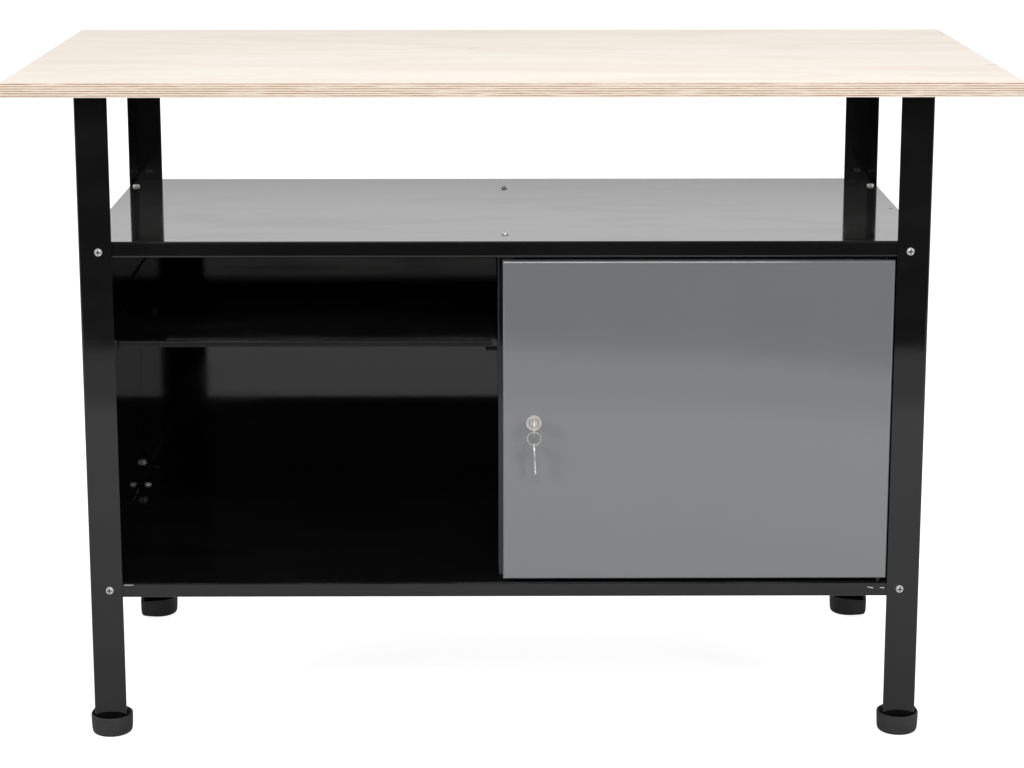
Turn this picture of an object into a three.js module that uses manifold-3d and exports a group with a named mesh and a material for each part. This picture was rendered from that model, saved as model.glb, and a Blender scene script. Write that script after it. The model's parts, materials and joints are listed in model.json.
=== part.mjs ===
// Steel workbench with a plywood top, an open shelf, an open compartment and one lockable cabinet door.
// Millimetres. +X runs along the bench, -Y is the front, +Z is up; the origin is under the worktop's middle.
import * as THREE from 'three';
import { mergeVertices } from 'three/addons/utils/BufferGeometryUtils.js';
import Module from 'manifold-3d';

// Worktop
const worktopLength = 1200;
const worktopDepth = 600;
const worktopThickness = 18;
const worktopHeight = 830;

// Frame
const overhangLeft = 75;
const overhangRight = 95;
const overhangFront = 60;
const overhangRear = 60;
const legFlange = 40;
const legThickness = 2;
const legBend = 3;
const legTabLength = 34;

// Shelves and panels
const sheet = 1;
const sheetBend = 1.6;
const upperShelfHeight = 629;
const upperLip = 20;
const lowerShelfHeight = 198;
const lowerLip = 19;
const lipReturn = 12;
const lipBend = 2.4;
const shelfEndGap = 2;
const panelFlange = 22;
const backFlange = 14;
const partitionFlange = 18;
const partitionOffset = -8.5;
const innerShelfDrop = 126;
const innerLip = 8;
const innerEndFlange = 18;
const innerLipInsetLeft = 37;
const innerLipInsetRight = 7;
const clipLength = 20;
const clipLeg = 15;
const clipThickness = 1.5;
const clipInset = 36;

// Door
const doorOverlap = 6;
const doorDepth = 18;
const doorEdgeRadius = 2.5;
const doorReturn = 12;
const doorGapTop = 4;
const doorGapBottom = 5;
const doorGapHinge = 1.5;
const doorGapRear = 1.5;
const hingeInset = 9;
const hingePinRadius = 2.5;
const hingePinReach = 8;

// Lock and keys
const lockFromEdge = 38;
const lockBelowMiddle = 1;
const lockFaceRadius = 10;
const lockFaceProud = 2;
const lockFaceBevel = 1;
const lockBodyRadius = 8;
const lockNutFlats = 22;
const lockNutThickness = 4;
const plugRadius = 5.5;
const plugProud = 0.6;
const camWidth = 14;
const camReach = 37;
const camThickness = 2;
const camBehindFlange = 1.5;
const camScrewRadius = 1.5;
const camWasherRadius = 6.3;
const camWasherThickness = 0.8;
const keyThickness = 2;
const keyBladeWidth = 7;
const keyBladeLength = 22;
const keyBowRadius = 10;
const keyNeck = 5;
const keyHoleRadius = 2.4;
const keyHoleDrop = 6;
const ringRadius = 8.2;
const ringWireRadius = 0.9;
const spareKeyLean = 3;

// Fasteners
const boltRadius = 2.5;
const boltHeadRadius = 4.8;
const boltHeadHeight = 3;
const nutFlats = 8;
const nutThickness = 4;
const boltTail = 2;
const boltInset = 24;
const upperBoltDrop = 12.4;
const lowerBoltDrop = 9;
const backBoltDrop = 64;
const sideBoltRise = 28;
const shelfScrewInset = 11;
const sideScrewSetback = 69;
const centreScrewFront = 54;
const centreScrewRear = 85;
const floorScrewRear = 45;
const spareHoleForward = 8;
const spareHoleRadius = 2.2;
const woodScrewRadius = 2;
const woodScrewDepth = 13;

// Feet
const footHeight = 25;
const footFloor = 4;
const footWall = 2.2;
const footRadius = 26;
const footSetback = 12;
const footSides = 36;
const footRounding = [
  { height: 0, inset: 4.6, tipInset: Infinity },
  { height: 1.5, inset: 2.2, tipInset: Infinity },
  { height: 3.6, inset: 1, tipInset: 1.2 },
];

// Clearance between a fastener or pivot and its hole, and between sheets that lie on each other
const fit = 0.3;
const seat = 0.15;

// Places worked out from the sizes
const worktopUnderside = worktopHeight - worktopThickness;
const frameLeft = overhangLeft - worktopLength / 2;
const frameRight = worktopLength / 2 - overhangRight;
const frameFront = overhangFront - worktopDepth / 2;
const frameRear = worktopDepth / 2 - overhangRear;
const lipFront = frameFront + legThickness + seat;
const lipRear = frameRear - legThickness - seat;
const panelLeft = frameLeft + legThickness + seat;
const panelRight = frameRight - legThickness - seat;
const panelTop = upperShelfHeight - sheet - seat;
const panelBottom = lowerShelfHeight + seat;
const upperLipBottom = upperShelfHeight - upperLip;
const innerShelfHeight = upperShelfHeight - innerShelfDrop;
const partitionLeft = (frameLeft + frameRight) / 2 + partitionOffset;
const doorRight = frameRight - legFlange - doorGapHinge;
const doorLeft = partitionLeft + doorOverlap;
const doorBottom = lowerShelfHeight + doorGapBottom;
const doorTop = upperLipBottom - doorGapTop;
const doorBack = frameFront + doorDepth;
const partitionFront = doorBack + doorGapRear;
const hingeX = doorRight - hingeInset;
const hingeY = frameFront + doorDepth / 2;
const lipBendInside = lipFront + sheet / 2 + lipBend;
const footTipRadius = legThickness * Math.SQRT1_2 + fit + footWall;
const hingeCollarRadius = hingeY - lipBendInside - fit;
const lockX = doorLeft + lockFromEdge;
const lockZ = (doorBottom + doorTop) / 2 - lockBelowMiddle;
const camFront = partitionFront + sheet + camBehindFlange;
const lockRear = camFront - fit;
const bowCentreY = frameFront - lockFaceProud - keyNeck - keyBowRadius;
const keyHoleZ = lockZ - keyHoleDrop;
const ringZ = keyHoleZ - keyHoleRadius + ringWireRadius + fit - ringRadius;
const spareHoleZ = ringZ - ringRadius - keyHoleRadius + ringWireRadius + fit;
const bladeHalf = keyThickness / 2;

const wasm = await Module();
wasm.setup();

// Turns a three.js geometry into a solid for cutting and joining.
function solid(geometry) {
  const bare = geometry.clone();
  bare.deleteAttribute('normal');
  bare.deleteAttribute('uv');
  const merged = mergeVertices(bare, 1e-4);
  const mesh = new wasm.Mesh({
    numProp: 3,
    vertProperties: new Float32Array(merged.attributes.position.array),
    triVerts: new Uint32Array(merged.index.array),
  });
  return new wasm.Manifold(mesh);
}

// Turns a solid back into a three.js geometry.
function geometryOf(body) {
  const mesh = body.getMesh();
  const geometry = new THREE.BufferGeometry();
  geometry.setAttribute('position', new THREE.BufferAttribute(new Float32Array(mesh.vertProperties), 3));
  geometry.setIndex(new THREE.BufferAttribute(new Uint32Array(mesh.triVerts), 1));
  return geometry;
}

// A box given by its lowest and highest corners.
function block(low, high) {
  const geometry = new THREE.BoxGeometry(1, 1, 1);
  const position = geometry.attributes.position;
  for (let i = 0; i < position.count; i += 1) {
    const signs = [position.getX(i), position.getY(i), position.getZ(i)];
    position.setXYZ(i, ...signs.map((sign, axis) => (sign > 0 ? high[axis] : low[axis])));
  }
  return solid(geometry);
}

// A rod of `sides` faces from one place, along +X, +Y or +Z.
function rod(radius, length, axis, start, sides = 16) {
  const geometry = new THREE.CylinderGeometry(radius, radius, length, sides);
  geometry.translate(0, length / 2, 0);
  if (axis === 'z') geometry.rotateX(Math.PI / 2);
  if (axis === 'x') geometry.rotateZ(-Math.PI / 2);
  geometry.translate(...start);
  return solid(geometry);
}

// The outline of a folded sheet: a middle line with rounded bends, thickened to both sides.
function foldedOutline(line, thickness, bends) {
  const steps = 4;
  const points = line.map(([x, y]) => new THREE.Vector2(x, y));
  const path = [points[0]];
  for (let i = 1; i < points.length - 1; i += 1) {
    const bend = Array.isArray(bends) ? bends[i - 1] : bends;
    const before = points[i - 1].clone().sub(points[i]).normalize().multiplyScalar(bend).add(points[i]);
    const after = points[i + 1].clone().sub(points[i]).normalize().multiplyScalar(bend).add(points[i]);
    const centre = before.clone().add(after).sub(points[i]);
    for (let k = 0; k <= steps; k += 1) {
      const turn = (Math.PI / 2) * (k / steps);
      const toStart = before.clone().sub(centre).multiplyScalar(Math.cos(turn));
      const toEnd = after.clone().sub(centre).multiplyScalar(Math.sin(turn));
      path.push(centre.clone().add(toStart).add(toEnd));
    }
  }
  path.push(points[points.length - 1]);
  const sides = [1, -1].map((side) => path.map((point, i) => {
    const ahead = path[Math.min(i + 1, path.length - 1)];
    const behind = path[Math.max(i - 1, 0)];
    const along = ahead.clone().sub(behind).normalize();
    return new THREE.Vector2(-along.y, along.x).multiplyScalar(side * thickness / 2).add(point);
  }));
  return new THREE.Shape([...sides[0], ...sides[1].reverse()]);
}

// Pushes an outline along one axis; the outline is drawn in (y, z), (x, z) or (x, y) for x, y and z.
function extrude(shape, axis, from, to) {
  const geometry = new THREE.ExtrudeGeometry(shape, { depth: 1, bevelEnabled: false, curveSegments: 6 });
  const [start, end] = axis === 'y' ? [-to, -from] : [from, to];
  const position = geometry.attributes.position;
  for (let i = 0; i < position.count; i += 1) position.setZ(i, position.getZ(i) > 0.5 ? end : start);
  if (axis !== 'z') geometry.rotateX(Math.PI / 2);
  if (axis === 'x') geometry.rotateZ(Math.PI / 2);
  return solid(geometry);
}

// A rod to cut a bolt hole with, centred on a place and longer than what it cuts.
function hole(axis, place, radius = boltRadius + fit, length = 60) {
  const start = [...place];
  start['xyz'.indexOf(axis)] -= length / 2;
  return rod(radius, length, axis, start);
}

const steelBlack = { color: 0x0d0d0e, roughness: 0.18, metalness: 0.1 };
const doorGrey = { color: 0x75777a, roughness: 0.38, metalness: 0.1 };
const birch = { color: 0xe6d3b6, roughness: 0.6, metalness: 0 };
const zinc = { color: 0xc9cacb, roughness: 0.3, metalness: 1 };
const nickel = { color: 0xd2d0ca, roughness: 0.2, metalness: 1 };
const footRubber = { color: 0x3a383a, roughness: 0.8, metalness: 0 };

const bench = new THREE.Group();

// Adds one named piece to the bench.
function add(name, body, look) {
  const mesh = new THREE.Mesh(geometryOf(body), new THREE.MeshStandardMaterial(look));
  mesh.name = name;
  bench.add(mesh);
}

// The four legs by name, with the corner each stands at and the way its two flanges run.
const legs = [
  { name: 'front_left', x: frameLeft, y: frameFront, toX: 1, toY: 1 },
  { name: 'front_right', x: frameRight, y: frameFront, toX: -1, toY: 1 },
  { name: 'rear_left', x: frameLeft, y: frameRear, toX: 1, toY: -1 },
  { name: 'rear_right', x: frameRight, y: frameRear, toX: -1, toY: -1 },
];
const upperBoltZ = upperShelfHeight - upperBoltDrop;
const lowerBoltZ = lowerShelfHeight - lowerBoltDrop;
const backBoltZ = upperShelfHeight - backBoltDrop;
const sideBoltZ = lowerShelfHeight + sideBoltRise;
const screwLeft = panelLeft + shelfScrewInset;
const screwRight = panelRight - shelfScrewInset;
const screwCentre = partitionLeft + partitionFlange / 2;
const woodScrewInset = legFlange / 2;

// Turns a geometry made along +Y to point along an axis, forwards or back, and moves it to its place.
function aim(geometry, place, axis, way) {
  if (axis === 'x') geometry.rotateZ(-way * Math.PI / 2);
  if (axis === 'y' && way < 0) geometry.rotateX(Math.PI);
  if (axis === 'z') geometry.rotateX(way * Math.PI / 2);
  geometry.translate(...place);
  return solid(geometry);
}

// A turned piece along +Y, from pairs of radius and height.
function turned(pairs, sides) {
  return new THREE.LatheGeometry(pairs.map(([radius, along]) => new THREE.Vector2(radius, along)), sides);
}

// A six-sided nut along +Y, by its width across flats.
function hexagon(flats, from, to) {
  const geometry = new THREE.CylinderGeometry(flats / Math.sqrt(3), flats / Math.sqrt(3), to - from, 6);
  geometry.translate(0, (from + to) / 2, 0);
  return geometry;
}

// A pan-head bolt with its nut: the head lies on the face at `place`, and the bolt runs on through `grip`.
function bolt(place, axis, way, grip) {
  const end = grip + nutThickness + boltTail;
  const shank = turned([
    [0, -boltHeadHeight], [boltHeadRadius * 0.6, -boltHeadHeight], [boltHeadRadius * 0.92, -boltHeadHeight * 0.6],
    [boltHeadRadius, 0], [boltRadius, 0], [boltRadius, end], [0, end],
  ], 12);
  const nut = hexagon(nutFlats, grip, grip + nutThickness);
  return aim(shank, place, axis, way).add(aim(nut, place, axis, way));
}

// A pan-head wood screw that runs up through `grip` into the board.
function woodScrew(place, grip) {
  const end = grip + woodScrewDepth;
  const shank = turned([
    [0, -boltHeadHeight], [boltHeadRadius * 0.7, -boltHeadHeight * 0.9], [boltHeadRadius, 0], [woodScrewRadius, 0],
    [woodScrewRadius, end - 2 * woodScrewRadius], [0, end],
  ], 12);
  return aim(shank, place, 'z', 1);
}

// Worktop: a plywood board with pilot holes for the screws in the leg tabs.
const woodScrews = legs.map((leg) => [leg.x + leg.toX * woodScrewInset, leg.y + leg.toY * woodScrewInset]);
let board = block(
  [-worktopLength / 2, -worktopDepth / 2, worktopUnderside],
  [worktopLength / 2, worktopDepth / 2, worktopHeight],
);
for (const [x, y] of woodScrews) {
  board = board.subtract(rod(woodScrewRadius + fit, woodScrewDepth + fit, 'z', [x, y, worktopUnderside]));
}
add('worktop', board, birch);

// Legs: folded angles with a tab under the worktop, bored for every bolt that passes through them.
const lipBolts = legs.flatMap((leg) => [upperBoltZ, lowerBoltZ].map((z) => ({
  name: `${z === upperBoltZ ? 'upper' : 'lower'}_lip_bolt_${leg.name}`,
  place: [leg.x + leg.toX * boltInset, leg.y, z],
  axis: 'y',
  way: leg.toY,
})));
const backBolts = legs.filter((leg) => leg.toY < 0).map((leg) => ({
  name: `back_panel_bolt_${leg.toX > 0 ? 'left' : 'right'}`,
  place: [leg.x + leg.toX * boltInset, leg.y, backBoltZ],
  axis: 'y',
  way: leg.toY,
}));
const sideBolts = legs.map((leg) => ({
  name: `side_panel_bolt_${leg.name}`,
  place: [leg.x, leg.y + leg.toY * boltInset, sideBoltZ],
  axis: 'x',
  way: leg.toX,
}));
const legBolts = [...lipBolts, ...backBolts, ...sideBolts];

function legAngle(leg) {
  const half = legThickness / 2;
  const outline = foldedOutline([
    [leg.x + leg.toX * legFlange, leg.y + leg.toY * half],
    [leg.x + leg.toX * half, leg.y + leg.toY * half],
    [leg.x + leg.toX * half, leg.y + leg.toY * legFlange],
  ], legThickness, legBend - half);
  const tabSide = [leg.x + leg.toX * half, leg.x + leg.toX * (legFlange - legThickness)].sort((a, b) => a - b);
  const tabStart = (legFlange - legTabLength) / 2;
  const tabAlong = [leg.y + leg.toY * tabStart, leg.y + leg.toY * (tabStart + legTabLength)].sort((a, b) => a - b);
  let body = extrude(outline, 'z', footFloor, worktopUnderside);
  body = body.add(block(
    [tabSide[0], tabAlong[0], worktopUnderside - legThickness],
    [tabSide[1], tabAlong[1], worktopUnderside],
  ));
  for (const one of legBolts) body = body.subtract(hole(one.axis, one.place));
  for (const [x, y] of woodScrews) body = body.subtract(hole('z', [x, y, worktopUnderside], woodScrewRadius + fit));
  return body;
}
for (const leg of legs) add(`leg_${leg.name}`, legAngle(leg), steelBlack);

// Feet: round soft cups that hold the leg's front or rear flange as a chord and reach over its side flange.
function footLayer(leg, inset, tipInset, from, to) {
  const across = leg.x + leg.toX * (legFlange / 2);
  const tipX = leg.x + leg.toX * (legThickness / 2);
  const tipY = leg.y + leg.toY * (legFlange - legThickness / 2);
  const back = leg.y + leg.toY * footSetback;
  const layer = [rod(footRadius - inset, to - from, 'z', [across, back, from], footSides)];
  if (tipInset < footTipRadius) layer.push(rod(footTipRadius - tipInset, to - from, 'z', [tipX, tipY, from]));
  return wasm.Manifold.hull(layer);
}

function footCup(leg) {
  const thin = footFloor / 20;
  const layers = footRounding.map(({ height, inset, tipInset }) => {
    return footLayer(leg, inset, tipInset, height, height + thin);
  });
  layers.push(footLayer(leg, 0, 0, footHeight - thin, footHeight));
  return wasm.Manifold.hull(layers).subtract(footLayer(leg, footWall, footWall, footFloor, footHeight + footWall));
}
for (const leg of legs) add(`foot_cap_${leg.name}`, footCup(leg), footRubber);

// Upper and lower shelf: sheets with a lip and a return fold along the front and rear.
function shelfPan(height, lip) {
  const half = sheet / 2;
  const low = height - lip + half;
  const front = lipFront + half;
  const rear = lipRear - half;
  const line = [
    [front + lipReturn - half, low], [front, low], [front, height - half],
    [rear, height - half], [rear, low], [rear - lipReturn + half, low],
  ];
  const pan = foldedOutline(line, sheet, [lipBend, sheetBend, sheetBend, lipBend]);
  return extrude(pan, 'x', panelLeft + shelfEndGap, panelRight - shelfEndGap);
}

const upperScrews = [
  { name: 'shelf_screw_front_left', x: screwLeft, y: frameFront + sideScrewSetback },
  { name: 'shelf_screw_front_right', x: screwRight, y: frameFront + sideScrewSetback },
  { name: 'shelf_screw_rear_left', x: screwLeft, y: frameRear - sideScrewSetback },
  { name: 'shelf_screw_rear_right', x: screwRight, y: frameRear - sideScrewSetback },
  { name: 'shelf_screw_front_centre', x: screwCentre, y: frameFront + centreScrewFront },
  { name: 'shelf_screw_rear_centre', x: screwCentre, y: frameRear - centreScrewRear },
];
const lowerScrews = [
  { name: 'floor_screw_rear_left', x: screwLeft, y: frameRear - floorScrewRear },
  { name: 'floor_screw_rear_right', x: screwRight, y: frameRear - floorScrewRear },
];
function boredSheet(body, height, screws) {
  let bored = body;
  for (const one of lipBolts) bored = bored.subtract(hole(one.axis, one.place));
  for (const one of screws) bored = bored.subtract(hole('z', [one.x, one.y, height], boltRadius + fit, 4 * sheet));
  return bored;
}

const spareHoleY = (frameFront + frameRear) / 2 - spareHoleForward;
const spareHole = hole('z', [screwRight, spareHoleY, upperShelfHeight], spareHoleRadius, 4 * sheet);
const upperPan = boredSheet(shelfPan(upperShelfHeight, upperLip), upperShelfHeight, upperScrews);
const hingeReturnCut = hole('z', [hingeX, hingeY, upperLipBottom], hingePinRadius + fit, 4 * sheet);
add('upper_shelf', upperPan.subtract(spareHole).subtract(hingeReturnCut), steelBlack);
const lowerPan = boredSheet(shelfPan(lowerShelfHeight, lowerLip), lowerShelfHeight, lowerScrews);
const hingeFloorCut = hole('z', [hingeX, hingeY, lowerShelfHeight], hingePinRadius + fit, 4 * sheet);
add('lower_shelf', lowerPan.subtract(hingeFloorCut), steelBlack);

// Side panels: sheets folded inwards along the top and bottom, between the two shelves.
function sidePanel(outerX, toX) {
  const half = sheet / 2;
  const plate = outerX + toX * half;
  const edge = outerX + toX * panelFlange;
  const line = [
    [edge, panelBottom + half], [plate, panelBottom + half],
    [plate, panelTop - half], [edge, panelTop - half],
  ];
  let bored = extrude(foldedOutline(line, sheet, sheetBend), 'y', lipFront + 2 * sheet, lipRear - 2 * sheet);
  for (const one of sideBolts) bored = bored.subtract(hole(one.axis, one.place));
  for (const one of upperScrews) bored = bored.subtract(hole('z', [one.x, one.y, upperShelfHeight]));
  for (const one of lowerScrews) bored = bored.subtract(hole('z', [one.x, one.y, lowerShelfHeight]));
  return bored;
}
add('side_panel_left', sidePanel(panelLeft, 1), steelBlack);
add('side_panel_right', sidePanel(panelRight, -1), steelBlack);

// Back panel: a sheet on the rear legs, folded forwards along the bottom to lie on the lower shelf.
const backLeft = panelLeft + panelFlange + fit;
const backRight = panelRight - panelFlange - fit;
const backTop = upperLipBottom - fit;
function backPanel() {
  const plate = lipRear - sheet / 2;
  const foot = panelBottom + sheet / 2;
  const fold = foldedOutline([[plate - backFlange, foot], [plate, foot], [plate, backTop]], sheet, sheetBend);
  let body = extrude(fold, 'x', backLeft, backRight);
  const sideStrips = [[panelLeft + shelfEndGap + sheet, backLeft], [backRight, panelRight - shelfEndGap - sheet]];
  for (const [from, to] of sideStrips) {
    body = body.add(block([from, lipRear - sheet, panelBottom + panelFlange], [to, lipRear, backTop]));
  }
  for (const one of backBolts) body = body.subtract(hole(one.axis, one.place));
  return body;
}
add('back_panel', backPanel(), steelBlack);

// Centre partition: a sheet folded to the right along all four edges.
function centrePartition() {
  const half = sheet / 2;
  const plate = partitionLeft + half;
  const edge = partitionLeft + partitionFlange;
  const front = partitionFront + half;
  const rear = lipRear - sheet - seat - half;
  const outline = foldedOutline([[edge, front], [plate, front], [plate, rear], [edge, rear]], sheet, sheetBend);
  const flangeFront = front + partitionFlange / 2;
  const flangeRear = rear - partitionFlange / 2;
  let body = extrude(outline, 'z', panelBottom, panelTop);
  body = body.add(block([plate, flangeFront, panelTop - sheet], [edge, flangeRear, panelTop]));
  body = body.add(block([plate, flangeFront, panelBottom], [edge, flangeRear, panelBottom + sheet]));
  for (const one of upperScrews) body = body.subtract(hole('z', [one.x, one.y, upperShelfHeight]));
  const returnNotch = block(
    [partitionLeft - sheet, lipRear - lipReturn - fit, upperLipBottom - fit],
    [edge + sheet, lipRear, panelTop + sheet],
  );
  const foldNotch = block(
    [partitionLeft - sheet, lipRear - backFlange - sheet - fit, panelBottom - sheet],
    [edge + sheet, lipRear, panelBottom + sheet + sheetBend + fit],
  );
  return body.subtract(returnNotch).subtract(foldNotch);
}
add('centre_partition', centrePartition(), steelBlack);

// Inner shelf: a tray in the open compartment, with a short front lip and a flange down each end.
const innerLeft = panelLeft + sheet + fit;
const innerRight = partitionLeft - fit;
const innerFront = partitionFront - sheet;
const innerRear = lipRear - sheet - fit;
function innerShelf() {
  const half = sheet / 2;
  const top = innerShelfHeight - half;
  const ends = foldedOutline([
    [innerLeft + half, innerShelfHeight - innerEndFlange], [innerLeft + half, top],
    [innerRight - half, top], [innerRight - half, innerShelfHeight - innerEndFlange],
  ], sheet, sheetBend);
  const lip = foldedOutline([
    [innerFront + half, innerShelfHeight - innerLip], [innerFront + half, top], [innerFront + legFlange, top],
  ], sheet, sheetBend);
  const tray = extrude(ends, 'y', innerFront + innerLip, innerRear);
  return tray.add(extrude(lip, 'x', innerLeft + innerLipInsetLeft, innerRight - innerLipInsetRight));
}
add('inner_shelf', innerShelf(), steelBlack);

// Clips: small angles on the side panel and the partition that carry the inner shelf's end flanges.
function shelfClip(wallX, toX, middleY) {
  const half = clipThickness / 2;
  const top = innerShelfHeight - innerEndFlange - seat - half;
  const wall = wallX + toX * (seat + half);
  const outline = foldedOutline([[wall, top - clipLeg], [wall, top], [wallX + toX * clipLeg, top]],
    clipThickness, clipThickness);
  return extrude(outline, 'y', middleY - clipLength / 2, middleY + clipLength / 2);
}
const clipFront = innerFront + clipInset;
const clipRear = innerRear - clipInset;
add('shelf_clip_front_left', shelfClip(panelLeft + sheet, 1, clipFront), steelBlack);
add('shelf_clip_rear_left', shelfClip(panelLeft + sheet, 1, clipRear), steelBlack);
add('shelf_clip_front_right', shelfClip(partitionLeft, -1, clipFront), steelBlack);
add('shelf_clip_rear_right', shelfClip(partitionLeft, -1, clipRear), steelBlack);

// Door: a tray with rounded front edges and a return fold down both sides.
function roundedFace(low, high, front, backY, radius) {
  const shape = new THREE.Shape();
  shape.moveTo(low, backY);
  shape.lineTo(low, front + radius);
  shape.absarc(low + radius, front + radius, radius, Math.PI, 1.5 * Math.PI, false);
  shape.absarc(high - radius, front + radius, radius, 1.5 * Math.PI, 2 * Math.PI, false);
  shape.lineTo(high, backY);
  return shape;
}

function doorBlock(inset, backY) {
  const front = frameFront + inset;
  const radius = doorEdgeRadius - inset;
  const plan = roundedFace(doorLeft + inset, doorRight - inset, front, backY, radius);
  const across = extrude(plan, 'z', doorBottom + inset, doorTop - inset);
  const profile = new THREE.Shape(roundedFace(doorBottom + inset, doorTop - inset, front, backY, radius)
    .getPoints(6).map((point) => new THREE.Vector2(point.y, point.x)));
  return across.intersect(extrude(profile, 'x', doorLeft + inset, doorRight - inset));
}

function doorPanel() {
  const returns = [[doorLeft + sheet / 2, doorLeft + doorReturn], [doorRight - doorReturn, doorRight - sheet / 2]];
  let body = doorBlock(0, doorBack).subtract(doorBlock(sheet, doorBack + sheet));
  for (const [from, to] of returns) {
    body = body.add(block(
      [from, doorBack - sheet, doorBottom + hingeInset],
      [to, doorBack, doorTop - hingeInset],
    ));
  }
  const pinEnds = [doorTop, doorBottom].map((z) => hole('z', [hingeX, hingeY, z], hingePinRadius + fit, 4 * sheet));
  const lockHole = hole('y', [lockX, frameFront, lockZ], lockBodyRadius + fit, 4 * sheet);
  return body.subtract(pinEnds[0]).subtract(pinEnds[1]).subtract(lockHole);
}
add('door_panel', doorPanel(), doorGrey);

// Hinge pins: the upper one hangs in the shelf lip's return, the lower one carries the door on its collar.
const upperReturnTop = upperLipBottom + sheet;
const upperPin = turned([
  [0, doorTop - hingePinReach], [hingePinRadius, doorTop - hingePinReach], [hingePinRadius, upperReturnTop],
  [hingeCollarRadius, upperReturnTop], [hingeCollarRadius, upperReturnTop + boltHeadHeight],
  [0, upperReturnTop + boltHeadHeight],
], 16);
const floorUnderside = lowerShelfHeight - sheet;
const lowerPin = turned([
  [0, floorUnderside - boltTail], [hingePinRadius, floorUnderside - boltTail], [hingePinRadius, lowerShelfHeight],
  [hingeCollarRadius, lowerShelfHeight], [hingeCollarRadius, doorBottom - fit], [hingePinRadius, doorBottom - fit],
  [hingePinRadius, doorBottom + hingePinReach], [0, doorBottom + hingePinReach],
], 16);
add('hinge_pin_upper', aim(upperPin, [hingeX, hingeY, 0], 'z', 1), steelBlack);
add('hinge_pin_lower', aim(lowerPin, [hingeX, hingeY, 0], 'z', 1), steelBlack);

// Lock: a barrel through the door with its nut behind, a turning plug, and a cam that reaches behind the partition.
const lockFront = frameFront - lockFaceProud;
const lockBore = plugRadius + fit;
const barrel = turned([
  [lockBore, lockFront + fit], [lockFaceRadius - lockFaceBevel, lockFront],
  [lockFaceRadius, lockFront + lockFaceBevel],
  [lockFaceRadius, frameFront], [lockBodyRadius, frameFront], [lockBodyRadius, lockRear], [lockBore, lockRear],
  [lockBore, lockFront + fit],
], 32);
add('lock_barrel', aim(barrel, [lockX, 0, lockZ], 'y', 1), nickel);

const lockNutFront = frameFront + sheet;
const lockNutHexagon = hexagon(lockNutFlats, lockNutFront, lockNutFront + lockNutThickness);
const lockNutBody = aim(lockNutHexagon, [lockX, 0, lockZ], 'y', 1);
const lockNutHole = hole('y', [lockX, frameFront, lockZ], lockBodyRadius + fit);
add('lock_nut', lockNutBody.subtract(lockNutHole), zinc);

const camSquare = plugRadius * 0.68;
const camRear = camFront + camThickness;
const plugFront = lockFront - plugProud;
const plugBody = turned([[0, plugFront], [plugRadius, plugFront], [plugRadius, lockRear], [0, lockRear]], 32);
const camSeat = block(
  [lockX - camSquare, lockRear - sheet, lockZ - camSquare],
  [lockX + camSquare, camRear, lockZ + camSquare],
);
const keySlot = block(
  [lockX - bladeHalf - fit, plugFront - sheet, lockZ - keyBladeWidth / 2 - fit],
  [lockX + bladeHalf + fit, lockFront + keyBladeLength - keyNeck + fit, lockZ + keyBladeWidth / 2 + fit],
);
const screwBore = hole('y', [lockX, camRear, lockZ], camScrewRadius + fit, 2 * nutThickness);
const plug = aim(plugBody, [lockX, 0, lockZ], 'y', 1).add(camSeat).subtract(keySlot).subtract(screwBore);
add('lock_plug', plug, nickel);

// The cam is drawn pointing up, which is its unlocked place.
function camOutline() {
  const half = camWidth / 2;
  const shape = new THREE.Shape();
  shape.absarc(lockX, lockZ, half, Math.PI, 2 * Math.PI, false);
  shape.lineTo(lockX + half, lockZ + camReach - half);
  shape.absarc(lockX, lockZ + camReach - half, half, 0, Math.PI, false);
  return shape;
}
const camCut = block(
  [lockX - camSquare - fit, camFront - sheet, lockZ - camSquare - fit],
  [lockX + camSquare + fit, camRear + sheet, lockZ + camSquare + fit],
);
add('lock_cam', extrude(camOutline(), 'y', camFront, camRear).subtract(camCut), zinc);
const camScrew = turned([
  [0, -nutThickness + fit], [camScrewRadius, -nutThickness + fit], [camScrewRadius, 0], [camWasherRadius, 0],
  [camWasherRadius, camWasherThickness], [boltHeadRadius, camWasherThickness],
  [boltHeadRadius * 0.7, boltHeadHeight], [0, boltHeadHeight],
], 16);
add('cam_screw', aim(camScrew, [lockX, camRear, lockZ], 'y', 1), zinc);

// Keys: a flat bow with a hole for the ring and a pointed blade, drawn in (y, z).
function keyOutline(bow, ringHole, bladeTo, bladeHalfWidth) {
  const shape = new THREE.Shape();
  const start = Math.asin(bladeHalfWidth / bow.radius);
  const away = bladeTo.angle;
  shape.absarc(bow.u, bow.v, bow.radius, away + start, away - start + 2 * Math.PI, false);
  const along = new THREE.Vector2(Math.cos(away), Math.sin(away));
  const across = new THREE.Vector2(-along.y, along.x);
  const tip = new THREE.Vector2(bow.u, bow.v).addScaledVector(along, bladeTo.length);
  const shoulder = tip.clone().addScaledVector(along, -bladeHalfWidth);
  const points = [
    shoulder.clone().addScaledVector(across, -bladeHalfWidth),
    tip.clone(),
    shoulder.clone().addScaledVector(across, bladeHalfWidth),
  ];
  for (const point of points) shape.lineTo(point.x, point.y);
  const opening = new THREE.Path();
  opening.absarc(ringHole.u, ringHole.v, keyHoleRadius, 0, 2 * Math.PI, true);
  shape.holes.push(opening);
  return shape;
}
const keyLength = keyBowRadius + keyBladeLength;
const keyShape = keyOutline(
  { u: bowCentreY, v: lockZ, radius: keyBowRadius },
  { u: bowCentreY, v: keyHoleZ },
  { angle: 0, length: keyLength },
  keyBladeWidth / 2,
);
add('key', extrude(keyShape, 'x', lockX - bladeHalf, lockX + bladeHalf), nickel);

const ring = new THREE.TorusGeometry(ringRadius, ringWireRadius, 8, 32);
ring.rotateX(Math.PI / 2);
ring.translate(lockX, bowCentreY, ringZ);
add('key_ring', solid(ring), nickel);

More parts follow.
